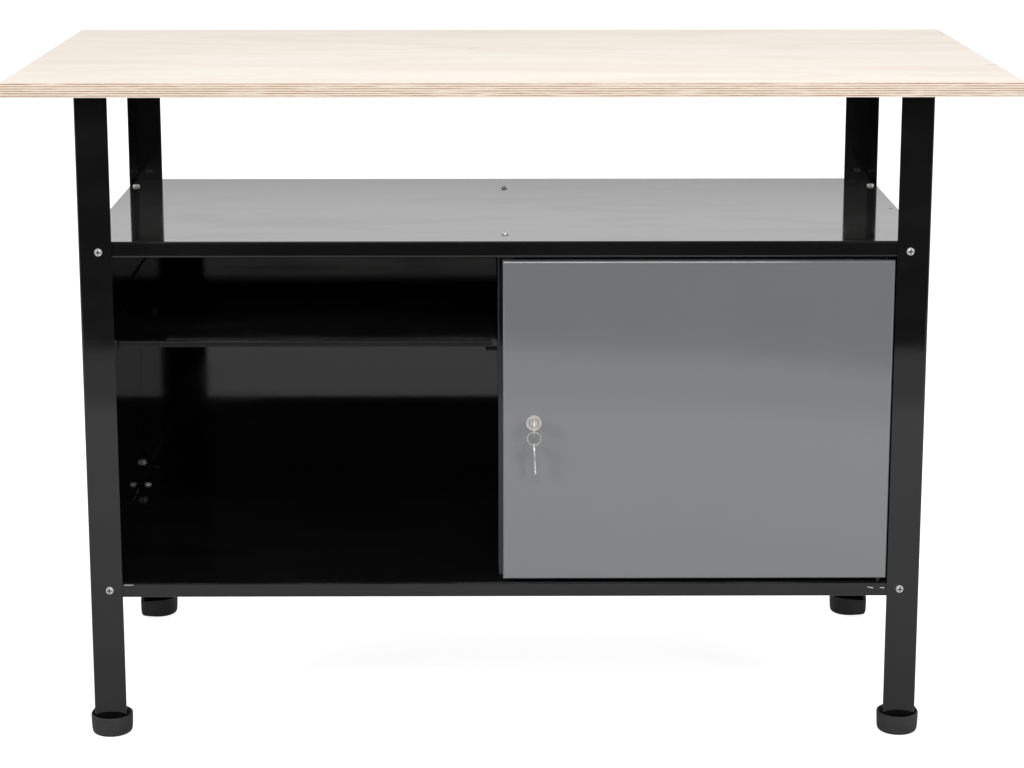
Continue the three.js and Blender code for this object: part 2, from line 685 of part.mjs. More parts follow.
const spareShape = keyOutline(
  { u: 0, v: -keyHoleDrop, radius: keyBowRadius },
  { u: 0, v: 0 },
  { angle: -Math.PI / 2, length: keyLength },
  keyBladeWidth / 2,
);
const spare = new THREE.ExtrudeGeometry(spareShape, { depth: keyThickness, bevelEnabled: false, curveSegments: 6 });
spare.translate(0, 0, -bladeHalf);
spare.rotateX(Math.PI / 2);
spare.rotateZ(Math.PI / 2);
spare.rotateY(-THREE.MathUtils.degToRad(spareKeyLean));
spare.translate(lockX, bowCentreY, spareHoleZ);
add('spare_key', solid(spare), nickel);

// Fasteners
const lipGrip = legThickness + seat + sheet;
const flangeGrip = sheet + seat + sheet;
for (const one of legBolts) add(one.name, bolt(one.place, one.axis, one.way, lipGrip), zinc);
for (const one of upperScrews) add(one.name, bolt([one.x, one.y, upperShelfHeight], 'z', -1, flangeGrip), zinc);
for (const one of lowerScrews) add(one.name, bolt([one.x, one.y, panelBottom + sheet], 'z', -1, flangeGrip), zinc);
woodScrews.forEach(([x, y], i) => {
  add(`worktop_screw_${legs[i].name}`, woodScrew([x, y, worktopUnderside - legThickness], legThickness), zinc);
});

export default bench;
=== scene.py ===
"""Looks for the steel workbench: plywood board, gloss black frame, grey door, zinc bolts, nickel lock, soft feet."""
import json
import math

import bmesh
import bpy
import numpy as np
from mathutils import Matrix, Vector


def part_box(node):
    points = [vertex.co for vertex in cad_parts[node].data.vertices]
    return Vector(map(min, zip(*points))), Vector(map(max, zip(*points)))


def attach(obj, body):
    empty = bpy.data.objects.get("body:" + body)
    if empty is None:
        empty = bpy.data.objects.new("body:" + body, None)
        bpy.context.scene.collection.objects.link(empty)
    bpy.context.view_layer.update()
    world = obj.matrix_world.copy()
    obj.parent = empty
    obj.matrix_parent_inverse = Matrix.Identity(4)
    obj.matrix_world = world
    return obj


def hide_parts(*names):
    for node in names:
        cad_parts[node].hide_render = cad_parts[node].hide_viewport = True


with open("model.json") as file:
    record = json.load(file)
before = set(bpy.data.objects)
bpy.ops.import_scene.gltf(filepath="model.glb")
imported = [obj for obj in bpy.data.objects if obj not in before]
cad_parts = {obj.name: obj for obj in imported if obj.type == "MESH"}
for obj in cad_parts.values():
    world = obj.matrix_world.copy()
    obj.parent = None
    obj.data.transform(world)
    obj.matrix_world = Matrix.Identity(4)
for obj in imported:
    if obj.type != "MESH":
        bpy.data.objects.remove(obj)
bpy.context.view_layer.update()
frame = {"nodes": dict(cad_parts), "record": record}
nodes = frame["nodes"]
scene = bpy.context.scene
LEGS = ("front_left", "front_right", "rear_left", "rear_right")


# Shader helpers

def srgb(red, green, blue):
    """Linear colour from 0-255 display values."""
    part = np.array([red, green, blue]) / 255.0
    line = np.where(part <= 0.04045, part / 12.92, ((part + 0.055) / 1.055) ** 2.4)
    return (*line.tolist(), 1.0)


def put(tree, socket, value):
    """Gives an input socket its value: a constant, or another socket to link."""
    if isinstance(value, bpy.types.NodeSocket):
        tree.links.new(value, socket)
    else:
        socket.default_value = value


def add_node(tree, kind, values=None, **settings):
    """One shader node: settings are its properties, values go to its input sockets."""
    made = tree.nodes.new("ShaderNode" + kind)
    for key, value in settings.items():
        setattr(made, key, value)
    for key, value in (values or {}).items():
        put(tree, made.inputs[key], value)
    return made


def dress(tree, node, **values):
    """Gives a node's input sockets their values by name, where an underscore stands for a space."""
    for key, value in values.items():
        put(tree, node.inputs[key.replace("_", " ")], value)


def group(name, *outputs):
    """An empty shader node group that takes object coordinates and puts out the named values."""
    tree = bpy.data.node_groups.new(name, "ShaderNodeTree")
    tree.interface.new_socket("Where", in_out="INPUT", socket_type="NodeSocketVector")
    for label in outputs:
        tree.interface.new_socket(label, in_out="OUTPUT", socket_type="NodeSocketFloat")
    return tree, tree.nodes.new("NodeGroupInput").outputs["Where"], tree.nodes.new("NodeGroupOutput")


def use_group(tree, made, where):
    """A group placed in a material; returns its outputs."""
    return add_node(tree, "Group", {"Where": where}, node_tree=made).outputs


def math_node(tree, operation, *values):
    """The result of one sum on constants and sockets."""
    return add_node(tree, "Math", dict(enumerate(values)), operation=operation).outputs[0]


def xyz(tree, vector):
    """The three parts of a vector."""
    return add_node(tree, "SeparateXYZ", {0: vector}).outputs


def noise(tree, where, scale, detail=4.0, roughness=0.55, distortion=0.0):
    """Cloudy values between 0 and 1."""
    return add_node(tree, "TexNoise", {"Vector": where, "Scale": scale, "Detail": detail, "Roughness": roughness,
                                       "Distortion": distortion}).outputs["Fac"]


def stretch(tree, where, scale):
    """Coordinates multiplied along each axis, so that a pattern on them is drawn out along the small ones."""
    return add_node(tree, "Mapping", {"Vector": where, "Scale": scale}).outputs[0]


def ramp(tree, value, low, high):
    """A value rescaled so that `low` becomes 0 and `high` becomes 1, smoothly and clamped."""
    return add_node(tree, "MapRange", {"Value": value, "From Min": low, "From Max": high},
                    interpolation_type="SMOOTHSTEP").outputs[0]


def span(tree, value, low, high):
    """A value between 0 and 1 spread evenly between two numbers."""
    return add_node(tree, "MapRange", {"Value": value, "To Min": low, "To Max": high}).outputs[0]


def mix(tree, factor, first, second):
    """The first colour at factor 0, the second at factor 1."""
    return add_node(tree, "Mix", {0: factor, 6: first, 7: second}, data_type="RGBA").outputs[2]


def bump(tree, height, strength, distance, **under):
    """A bumped normal; Normal=... lays it over another one."""
    return add_node(tree, "Bump", {"Height": height, "Strength": strength, "Distance": distance, **under}).outputs[0]


def material(name):
    """A new node material; returns it with its tree, its shader and its object coordinates."""
    made = bpy.data.materials.new(name)
    made.use_nodes = True
    tree = made.node_tree
    shader = next(n for n in tree.nodes if n.type == "BSDF_PRINCIPLED")
    return made, tree, shader, add_node(tree, "TexCoord").outputs["Object"]


# Surface effects

def powder_coat_group():
    """Powder coat: a fine orange-peel height, and soft smudges for the gloss."""
    tree, where, out = group("powder_coat_skin", "Peel", "Smudge")
    fine = math_node(tree, "MULTIPLY", noise(tree, where, 420.0, 2.0), 0.55)
    wide = math_node(tree, "MULTIPLY", noise(tree, where, 95.0, 1.0), 0.45)
    smear = noise(tree, stretch(tree, where, (2.2, 9.0, 9.0)), 1.6, 5.0, 0.6, 0.6)
    dress(tree, out, Peel=math_node(tree, "ADD", fine, wide), Smudge=ramp(tree, smear, 0.42, 0.74))
    return tree


def plated_group():
    """Plating: cloudy passivation patches and fine wire-brush lines."""
    tree, where, out = group("plated_metal", "Cloud", "Lines")
    dress(tree, out, Cloud=noise(tree, where, 210.0, 3.0, 0.6, 0.4),
          Lines=noise(tree, stretch(tree, where, (300.0, 2200.0, 300.0)), 1.0, 2.0))
    return tree


def veneer_group():
    """Birch veneer seen on the face: long faint grain, slow cloudy figure, short flecks and a few pin knots."""
    tree, where, out = group("birch_veneer", "Grain", "Figure", "Flecks", "Knots")
    bend = noise(tree, stretch(tree, where, (0.9, 2.2, 1.0)), 1.3, 3.0)
    sway = add_node(tree, "CombineXYZ", {"Y": math_node(tree, "MULTIPLY", bend, 0.05)}).outputs[0]
    place = add_node(tree, "VectorMath", {0: where, 1: sway}, operation="ADD").outputs[0]
    fleck = noise(tree, stretch(tree, place, (45.0, 700.0, 60.0)), 1.0, 1.0)
    cells = add_node(tree, "TexVoronoi", {"Vector": stretch(tree, place, (3.2, 17.0, 1.0)), "Scale": 1.0}).outputs
    spot = math_node(tree, "LESS_THAN", cells["Distance"], 0.03)
    halo = ramp(tree, cells["Distance"], 0.06, 0.012)
    pick = math_node(tree, "GREATER_THAN", add_node(tree, "SeparateColor", {0: cells["Color"]}).outputs[0], 0.6)
    dress(tree, out, Grain=noise(tree, stretch(tree, place, (5.0, 240.0, 40.0)), 1.0, 5.0, 0.6),
          Figure=noise(tree, stretch(tree, place, (1.1, 5.5, 1.0)), 1.9, 5.0, 0.58, 1.4),
          Flecks=ramp(tree, fleck, 0.68, 0.78),
          Knots=math_node(tree, "MULTIPLY", math_node(tree, "MAXIMUM", spot, halo), pick))
    return tree


def plies_group(base, thickness, count):
    """Plywood edge: alternate long-grain and end-grain veneers with broken glue lines between them, by height."""
    tree, where, out = group("plywood_edge", "Across", "Glue", "Fibre")
    wave = math_node(tree, "SUBTRACT", noise(tree, stretch(tree, where, (7.0, 7.0, 1.0)), 1.0, 3.0), 0.5)
    rise = math_node(tree, "SUBTRACT", xyz(tree, where)["Z"], base)
    level = math_node(tree, "ADD", rise, math_node(tree, "MULTIPLY", wave, 0.0009))
    layer = math_node(tree, "MULTIPLY", level, count / thickness)
    phase = math_node(tree, "FRACT", math_node(tree, "MULTIPLY", layer, 0.5))
    end_grain = math_node(tree, "SUBTRACT", ramp(tree, phase, 0.56, 0.66), ramp(tree, phase, 0.92, 1.0))
    torn = ramp(tree, noise(tree, stretch(tree, where, (22.0, 22.0, 420.0)), 1.0, 4.0, 0.6), 0.25, 0.6)
    within = math_node(tree, "ABSOLUTE", math_node(tree, "SUBTRACT", math_node(tree, "FRACT", layer), 0.5))
    broken = ramp(tree, noise(tree, stretch(tree, where, (16.0, 16.0, 500.0)), 1.0, 3.0), 0.3, 0.62)
    dress(tree, out, Across=math_node(tree, "MULTIPLY", end_grain, torn),
          Glue=math_node(tree, "MULTIPLY", ramp(tree, within, 0.36, 0.5), broken),
          Fibre=noise(tree, stretch(tree, where, (90.0, 90.0, 900.0)), 1.0, 4.0, 0.65))
    return tree


def pale_dash_group(places):
    """Pale marks: short wavering dashes on the front of the lower shelf, each given as (x, z, half length, slope)."""
    tree, where, out = group("pale_dash_marks", "Chip")
    spot = xyz(tree, where)
    waver = math_node(tree, "MULTIPLY", math_node(tree, "SUBTRACT", noise(tree, where, 260.0), 0.5), 0.0016)
    mask = math_node(tree, "LESS_THAN", spot["Y"], -0.236)
    dashes = []
    for x, z, half, slope in places:
        along = math_node(tree, "SUBTRACT", spot["X"], x)
        line = math_node(tree, "ADD", math_node(tree, "MULTIPLY", along, slope), math_node(tree, "ADD", waver, z))
        off_line = math_node(tree, "ABSOLUTE", math_node(tree, "SUBTRACT", spot["Z"], line))
        inside = ramp(tree, math_node(tree, "ABSOLUTE", along), half, half * 0.8)
        dashes.append(math_node(tree, "MULTIPLY", ramp(tree, off_line, 0.0007, 0.0003), inside))
    found = dashes[0]
    for dash in dashes[1:]:
        found = math_node(tree, "MAXIMUM", found, dash)
    dress(tree, out, Chip=math_node(tree, "MULTIPLY", found, mask))
    return tree


POWDER_COAT = powder_coat_group()
PLATED = plated_group()


# Materials

def birch_plywood():
    """The board: cream veneer on its faces, layered veneers on its edges."""
    low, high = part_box("worktop")
    made, tree, shader, where = material("birch_plywood")
    face = use_group(tree, veneer_group(), where)
    edge = use_group(tree, plies_group(low.z, high.z - low.z, 13), where)
    cream = mix(tree, ramp(tree, face["Figure"], 0.36, 0.66), srgb(240, 234, 226), srgb(234, 224, 214))
    cream = mix(tree, math_node(tree, "MULTIPLY", face["Grain"], 0.35), cream, srgb(227, 211, 193))
    cream = mix(tree, math_node(tree, "MULTIPLY", face["Flecks"], 0.3), cream, srgb(190, 160, 130))
    cream = mix(tree, math_node(tree, "MULTIPLY", face["Knots"], 0.6), cream, srgb(150, 115, 85))
    fibre = math_node(tree, "MULTIPLY", ramp(tree, edge["Fibre"], 0.35, 0.75), 0.5)
    layers = mix(tree, edge["Across"], srgb(253, 240, 224), srgb(164, 122, 94))
    layers = mix(tree, fibre, layers, srgb(222, 192, 168))
    layers = mix(tree, math_node(tree, "MULTIPLY", edge["Glue"], 0.25), layers, srgb(138, 104, 82))
    normal = add_node(tree, "NewGeometry").outputs["True Normal"]
    is_face = ramp(tree, math_node(tree, "ABSOLUTE", xyz(tree, normal)["Z"]), 0.6, 0.8)
    dress(tree, shader, Base_Color=mix(tree, is_face, layers, cream), Roughness=span(tree, face["Grain"], 0.62, 0.8),
          Normal=bump(tree, math_node(tree, "ADD", face["Grain"], edge["Fibre"]), 0.25, 0.0002),
          Specular_IOR_Level=0.08)
    return made


def black_powder_coat():
    """Gloss black powder coat with orange peel, handling smudges in the gloss and a few pale dashes on the lower
    shelf's front.
    """
    made, tree, shader, where = material("black_powder_coat")
    coat = use_group(tree, POWDER_COAT, where)
    dash_marks = pale_dash_group([(-0.4775, 0.1952, 0.0065, 0.0), (0.445, 0.1903, 0.004, -0.2), (0.4597, 0.1898, 0.003, 0.0)])
    film = math_node(tree, "MULTIPLY", coat["Smudge"], 0.015)
    paint = mix(tree, film, (0.0052, 0.0052, 0.0054, 1), (0.2, 0.2, 0.2, 1))
    # Pale grey dashes are painted into the colour on the lower shelf's front.
    dress(tree, shader, Base_Color=mix(tree, use_group(tree, dash_marks, where)["Chip"], paint, (0.62, 0.61, 0.6, 1)),
          Roughness=span(tree, coat["Smudge"], 0.05, 0.13), Normal=bump(tree, coat["Peel"], 0.05, 0.0004),
          Coat_Weight=0.35, Coat_Roughness=0.04)
    return made


def door_grey():
    """Mid-grey powder coat with a shine, on a sheet that is a little twisted and wavy: its height falls with x * x * z."""
    made, tree, shader, where = material("door_grey")
    coat = use_group(tree, POWDER_COAT, where)
    cloud = noise(tree, where, 9.0, 3.0)
    spot = xyz(tree, where)
    twist = math_node(tree, "MULTIPLY", math_node(tree, "MULTIPLY", spot["X"], spot["X"]), spot["Z"])
    wave = math_node(tree, "MULTIPLY", noise(tree, where, 3.2, 1.0), 0.0006)
    sheet = bump(tree, math_node(tree, "ADD", math_node(tree, "MULTIPLY", twist, -0.053), wave), 1.0, 1.0)
    dress(tree, shader, Base_Color=mix(tree, cloud, srgb(120, 122, 124), srgb(123, 125, 127)),
          Roughness=span(tree, cloud, 0.065, 0.09), Normal=bump(tree, coat["Peel"], 0.03, 0.0003, Normal=sheet),
          IOR=1.6, Specular_IOR_Level=1.0)
    return made


def plated(name, light, dark, smooth, dull, metal):
    """Plated steel: cloudy tint, faint brush lines, uneven gloss, and painted shade that darkens the colour in corners
    and in the screws' recesses.
    `metal` is how much of it mirrors like bare metal; the rest scatters like the pale film on the plating."""
    made, tree, shader, where = material(name)
    plate = use_group(tree, PLATED, where)
    # Painted shade: occluded corners and the marked screw recesses are darkened in the base colour.
    hidden = add_node(tree, "AmbientOcclusion", {"Distance": 0.0013}).outputs["AO"]
    recess = add_node(tree, "Attribute", attribute_name="recess").outputs["Fac"]
    painted_shade = math_node(tree, "MAXIMUM", ramp(tree, hidden, 0.6, 0.25), math_node(tree, "MULTIPLY", recess, 0.9))
    tint = mix(tree, ramp(tree, plate["Cloud"], 0.3, 0.7), light, dark)
    dress(tree, shader, Base_Color=mix(tree, painted_shade, tint, (0.02, 0.017, 0.014, 1)),
          Roughness=span(tree, plate["Cloud"], smooth, dull), Normal=bump(tree, plate["Lines"], 0.12, 0.00008),
          Metallic=metal)
    return made


def foot_rubber():
    """Soft matt PVC: fine pebble, a paler bloom and scuffs low down."""
    made, tree, shader, where = material("foot_rubber")
    bloom = noise(tree, where, 38.0, 4.0, 0.6)
    low_down = ramp(tree, xyz(tree, where)["Z"], 0.008, 0.001)
    scuff = math_node(tree, "MULTIPLY", low_down, ramp(tree, noise(tree, where, 220.0, 3.0), 0.5, 0.7))
    tone = mix(tree, ramp(tree, bloom, 0.35, 0.7), (0.03, 0.0285, 0.03, 1), (0.042, 0.04, 0.042, 1))
    dress(tree, shader, Base_Color=mix(tree, math_node(tree, "MULTIPLY", scuff, 0.5), tone, (0.08, 0.078, 0.075, 1)),
          Roughness=span(tree, bloom, 0.55, 0.75), Normal=bump(tree, noise(tree, where, 900.0, 3.0), 0.2, 0.0003))
    return made


LOOKS = {
    "birch_plywood": birch_plywood(),
    "black_powder_coat": black_powder_coat(),
    "door_grey": door_grey(),
    "zinc": plated("zinc", (0.98, 0.98, 0.98, 1), (0.88, 0.88, 0.88, 1), 0.36, 0.52, 0.5),
    "nickel": plated("nickel", (0.92, 0.9, 0.88, 1), (0.82, 0.79, 0.76, 1), 0.34, 0.5, 0.65),
    "foot_rubber": foot_rubber(),
}
SLOT_OF = {part["node"]: part["material_slot"] for part in frame["record"]["subparts"]}
for name, node in nodes.items():
    node.data.materials.clear()
    node.data.materials.append(LOOKS[SLOT_OF[name]])


# Mesh helpers: a skin is a grid of points

def skin(points, around=True, recess=None):
    """Vertices, quads and recess marks of a grid of points (rows, columns, 3).
    `around` joins the last column to the first; `recess` marks where a point lies in a pressed recess."""
    rows, columns = points.shape[:2]
    index = np.arange(rows * columns).reshape(rows, columns)
    ahead = np.roll(index, -1, axis=1) if around else index[:, 1:]
    here = index if around else index[:, :-1]
    quads = np.stack([here[:-1], ahead[:-1], ahead[1:], here[1:]], axis=-1).reshape(-1, 4)
    marks = np.zeros(rows * columns) if recess is None else recess.ravel()
    return points.reshape(-1, 3), quads, marks


def turned(profile, sides=48):
    """A skin turned about local Z from rows of (radius, height)."""
    profile = np.asarray(profile, float)
    turn = np.linspace(0, 2 * np.pi, sides, endpoint=False)
    radius, height = profile[:, :1], np.repeat(profile[:, 1:], sides, axis=1)
    return skin(np.stack([radius * np.cos(turn), radius * np.sin(turn), height], axis=-1))


def show(name, mesh, look, body, node):
    """The object of a mesh: it wears one of the looks, rides on a body and stands for a node."""
    mesh.materials.clear()
    mesh.materials.append(LOOKS[look])
    made = bpy.data.objects.new(name, mesh)
    scene.collection.objects.link(made)
    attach(made, body)
    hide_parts(node)


def piece(name, skins, look, body, node, way=None, place=(0, 0, 0), smooth_below=40.0):
    """One object from several skins, turned so that local +Z points along `way`, and moved to `place`."""
    all_points, all_quads, all_marks = zip(*skins)
    starts = np.cumsum([0] + [len(points) for points in all_points])
    points = np.concatenate(all_points)
    faces = np.concatenate([quads + start for quads, start in zip(all_quads, starts)])
    if way is not None:
        points = points @ np.array(Vector(way).to_track_quat("Z", "Y").to_matrix()).T
    mesh = bpy.data.meshes.new(name)
    mesh.from_pydata((points + np.array(place)).tolist(), [], faces.tolist())
    marks = np.concatenate(all_marks).astype(np.float32)
    # The recess marks are painted dark as shade by the plated looks.
    mesh.attributes.new("recess", "FLOAT", "POINT").data.foreach_set("value", marks)
    clean = bmesh.new()
    clean.from_mesh(mesh)
    bmesh.ops.remove_doubles(clean, verts=clean.verts, dist=1e-6)
    bmesh.ops.recalc_face_normals(clean, faces=clean.faces)
    clean.to_mesh(mesh)
    clean.free()
    mesh.shade_smooth()
    mesh.set_sharp_from_angle(angle=math.radians(smooth_below))
    show(name, mesh, look, body, node)


# Fasteners

def cross_head(radius, height, cells=40):
    """A pan head under z = 0: a square grid mapped onto the disc, domed, with a cross recess pressed into it.
    The dome falls as the fourth power of the radius; the recess is deepest in the middle and narrows outwards."""
    u, v = np.meshgrid(np.linspace(-1, 1, cells + 1), np.linspace(-1, 1, cells + 1))
    x, y = u * np.sqrt(1 - v * v / 2), v * np.sqrt(1 - u * u / 2)
    dome = height * np.sqrt(np.clip(1 - (x * x + y * y) ** 2, 0, 1))
    slots = [np.clip((0.19 - np.abs(a)) / 0.04, 0, 1) * np.clip((0.72 - np.abs(b)) / 0.12, 0, 1)
             for a, b in ((x, y), (y, x))]
    cross = np.maximum(*slots)
    depth = cross * height * (0.85 - 0.45 * np.hypot(x, y))
    return skin(np.stack([x * radius, y * radius, depth - dome], axis=-1), around=False, recess=cross)


def hex_nut(flats, low, high, bore, sides=72):
    """A six-sided nut with chamfered corners: the flats' distance follows the turn, cut to a circle at both ends."""
    turn = np.linspace(0, 2 * np.pi, sides, endpoint=False)
    flat = flats / 2 / np.cos((turn + np.pi / 6) % (np.pi / 3) - np.pi / 6)
    hole, ring, cut = np.full(sides, bore), np.full(sides, flats * 0.48), np.minimum(flat, flats * 0.53)
    chamfer = 0.12 * (high - low)
    rows = [(hole, low), (ring, low), (cut, low + chamfer * 0.5), (flat, low + chamfer),
            (flat, high - chamfer), (cut, high - chamfer * 0.5), (ring, high), (hole, high)]
    radius, height = np.stack([r for r, _ in rows]), np.array([z for _, z in rows])[:, None]
    return skin(np.stack([radius * np.cos(turn), radius * np.sin(turn), height + 0 * turn], axis=-1))


def threaded(radius, low, high, pitch, depth, sides=20):
    """A screw thread with its end: the radius dips once per pitch along the length, and the dip climbs one pitch per
    turn round the axis."""
    along = np.linspace(low, high, max(int((high - low) / pitch * 6), 6))[:, None]
    turn = np.linspace(0, 2 * np.pi, sides, endpoint=False)[None, :]
    dip = np.abs(((along / pitch - turn / (2 * np.pi)) % 1.0) - 0.5) * 2
    reach = radius - depth * dip
    body = skin(np.stack([reach * np.cos(turn), reach * np.sin(turn), along + 0 * turn], axis=-1))
    return [body, turned([(radius - depth, high), (radius * 0.5, high + 0.0002), (0.0, high + 0.0002)], sides)]


def machine_bolts():
    """Zinc cross-head bolts with nuts, wherever the frame has one."""
    for name in nodes:
        if "bolt" not in name and not name.startswith(("shelf_screw", "floor_screw")):
            continue
        low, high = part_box(name)
        middle = (low + high) / 2
        if "lip_bolt" in name or "back_panel" in name:
            way = Vector((0, 1 if middle.y < 0 else -1, 0))
        elif "side_panel" in name:
            way = Vector((1 if middle.x < 0 else -1, 0, 0))
        else:
            way = Vector((0, 0, -1))
        length = abs((high - low).dot(way))
        nut_far = length - 0.003 - 0.002
        skins = [cross_head(0.0048, 0.003), turned([(0.0048, 0), (0.0025, 0), (0.0025, nut_far)]),
                 hex_nut(0.008, nut_far - 0.004, nut_far, 0.0024),
                 *threaded(0.0025, nut_far, length - 0.0032, 0.0008, 0.0003)]
        piece(name + "_detail", skins, "zinc", "frame", name, way=way, place=middle + way * (0.003 - length / 2))


def worktop_screws():
    """Wood screws up through the leg tabs: cross head, coarse thread and a point."""
    for leg in LEGS:
        name = "worktop_screw_" + leg
        low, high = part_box(name)
        length = high.z - low.z
        place = ((low.x + high.x) / 2, (low.y + high.y) / 2, low.z + 0.003)
        skins = [cross_head(0.0048, 0.003), turned([(0.0048, 0), (0.002, 0), (0.002, 0.002)]),
                 *threaded(0.002, 0.002, length - 0.008, 0.0014, 0.0005),
                 turned([(0.0015, length - 0.008), (0.0, length - 0.0032)], 20)]
        piece(name + "_detail", skins, "zinc", "frame", name, way=(0, 0, 1), place=place)


# Feet

def foot_cups():
    """Soft round cups with a tail over the leg's side flange.
    The outline is the tight band round a 26 mm circle and a small circle at the flange tip, so its reach in direction t
    is the least of s(p) / cos(t - p), where s(p) = max(26 mm, d cos(p - a) + tip) is the band's width towards p.
    The profile gives height, inset and share of the tail. It runs from the middle of the base, round its rounded edge,
    up the wall, over the rim and down inside."""
    turn = np.linspace(0, 2 * np.pi, 180, endpoint=False)
    ahead = np.cos(turn[:, None] - turn[None, :])
    tip_from = np.array((0.001 - 0.02, 0.039 - 0.012))
    wide = np.hypot(*tip_from) * np.cos(turn - np.arctan2(tip_from[1], tip_from[0])) + 0.0039
    reach = np.min(np.where(ahead > 0.1, np.maximum(0.026, wide)[None, :] / np.maximum(ahead, 0.1), 1.0), axis=1)
    profile = np.array([
        (0.0, 0.026, 0.0), (0.0, 0.012, 0.0), (0.0, 0.0046, 0.1), (0.0003, 0.0035, 0.15), (0.001, 0.0025, 0.3),
        (0.0021, 0.0016, 0.5), (0.0038, 0.001, 0.8), (0.007, 0.0006, 0.95), (0.013, 0.0003, 1.0), (0.0236, 0.0, 1.0),
        (0.0246, 0.0002, 1.0), (0.025, 0.0008, 1.0), (0.025, 0.0015, 1.0), (0.0245, 0.0021, 1.0), (0.016, 0.0022, 1.0),
        (0.0055, 0.0022, 1.0), (0.0042, 0.004, 0.9), (0.0041, 0.02, 0.0), (0.0041, 0.026, 0.0)])
    height, inset, grown = profile.T[:, :, None]
    radius = np.maximum(0.026 - inset + (reach - 0.026) * grown, 0.0)
    for leg in LEGS:
        low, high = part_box("leg_" + leg)
        to_x = 1 if "left" in leg else -1
        to_y = 1 if "front" in leg else -1
        corner = (low.x if to_x > 0 else high.x, low.y if to_y > 0 else high.y)
        x = corner[0] + to_x * (0.02 + radius * np.cos(turn))
        y = corner[1] + to_y * (0.012 + radius * np.sin(turn))
        piece("foot_cup_" + leg, [skin(np.stack([x, y, height + 0 * turn], axis=-1))], "foot_rubber", "frame",
              "foot_cap_" + leg, smooth_below=60.0)


# Worktop

def plywood_board():
    """The board with eased edges: its outline shrinks towards both faces along a quarter circle of 0.4 mm, its corners
    are quarter circles of 1.5 mm, and a flat cap closes each face."""
    low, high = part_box("worktop")
    middle, half = (low + high) / 2, (high - low) / 2
    ease, corner = 0.0004, 0.0015
    turn = np.linspace(0, np.pi / 2, 6)
    inset = ease * np.concatenate([1 - np.sin(turn), 1 - np.cos(turn)])[:, None]
    height = np.concatenate([ease * (1 - np.cos(turn)) - half.z, half.z - ease * (1 - np.sin(turn))])[:, None]
    angle = (np.arange(4)[:, None] * np.pi / 2 + np.linspace(0, np.pi / 2, 5)).ravel()
    x = np.repeat((1, -1, -1, 1), 5) * (half.x - corner) + (corner - inset) * np.cos(angle)
    y = np.repeat((1, 1, -1, -1), 5) * (half.y - corner) + (corner - inset) * np.sin(angle)
    points, quads, _ = skin(np.stack([x, y, height + 0 * angle], axis=-1) + np.array(middle))
    ring = len(angle)
    caps = [list(range(ring))[::-1], list(range(len(points) - ring, len(points)))]
    mesh = bpy.data.meshes.new("plywood_board")
    mesh.from_pydata(points.tolist(), [], quads.tolist() + caps)
    mesh.shade_smooth()
    mesh.set_sharp_from_angle(angle=math.radians(50))
    show("plywood_board", mesh, "birch_plywood", "frame", "worktop")


# Lock and keys

def lock_face():
    """The lock's barrel: a double rim turned about the plug, and a threaded body behind the door."""
    low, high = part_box("lock_barrel")
    place = ((low.x + high.x) / 2, low.y + 0.002, (low.z + high.z) / 2)
    rear = high.y - low.y - 0.002
    rim = [(0.0058, rear), (0.0058, -0.0012), (0.0062, -0.0016), (0.0066, -0.0017), (0.0071, -0.0015),
           (0.0073, -0.0011), (0.0081, -0.0011), (0.0084, -0.0016), (0.0089, -0.002), (0.0094, -0.0019),
           (0.0098, -0.0014), (0.01, -0.0006), (0.01, 0.0), (0.008, 0.0)]
    body = threaded(0.008, 0.0, rear, 0.0012, 0.0004, 40)[0]
    back = turned([(0.0076, rear), (0.0058, rear)])
    piece("lock_face", [turned(rim), body, back], "nickel", "door", "lock_barrel", way=(0, 1, 0), place=place)


def split_ring():
    """The key ring: one round wire wound twice round, so that the two turns lie side by side."""
    low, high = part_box("key_ring")
    radius, wire = (high.x - low.x) / 2 - 0.0009, 0.00048
    path = np.linspace(0.3, 0.3 + 4 * np.pi - 0.35, 180)[:, None]
    side = np.linspace(-1, 1, 180)[:, None] * 0.00047
    turn = np.linspace(0, 2 * np.pi, 14, endpoint=False)[None, :]
    reach = radius + wire * np.cos(turn)
    grid = np.stack([reach * np.cos(path), side + wire * np.sin(turn) + 0 * path, reach * np.sin(path)], axis=-1)
    ends = [skin(np.stack([grid[i], np.repeat(grid[i].mean(0, keepdims=True), 14, axis=0)])) for i in (0, -1)]
    piece("split_ring", [skin(grid), *ends], "nickel", "ring", "key_ring", place=(low + high) / 2)


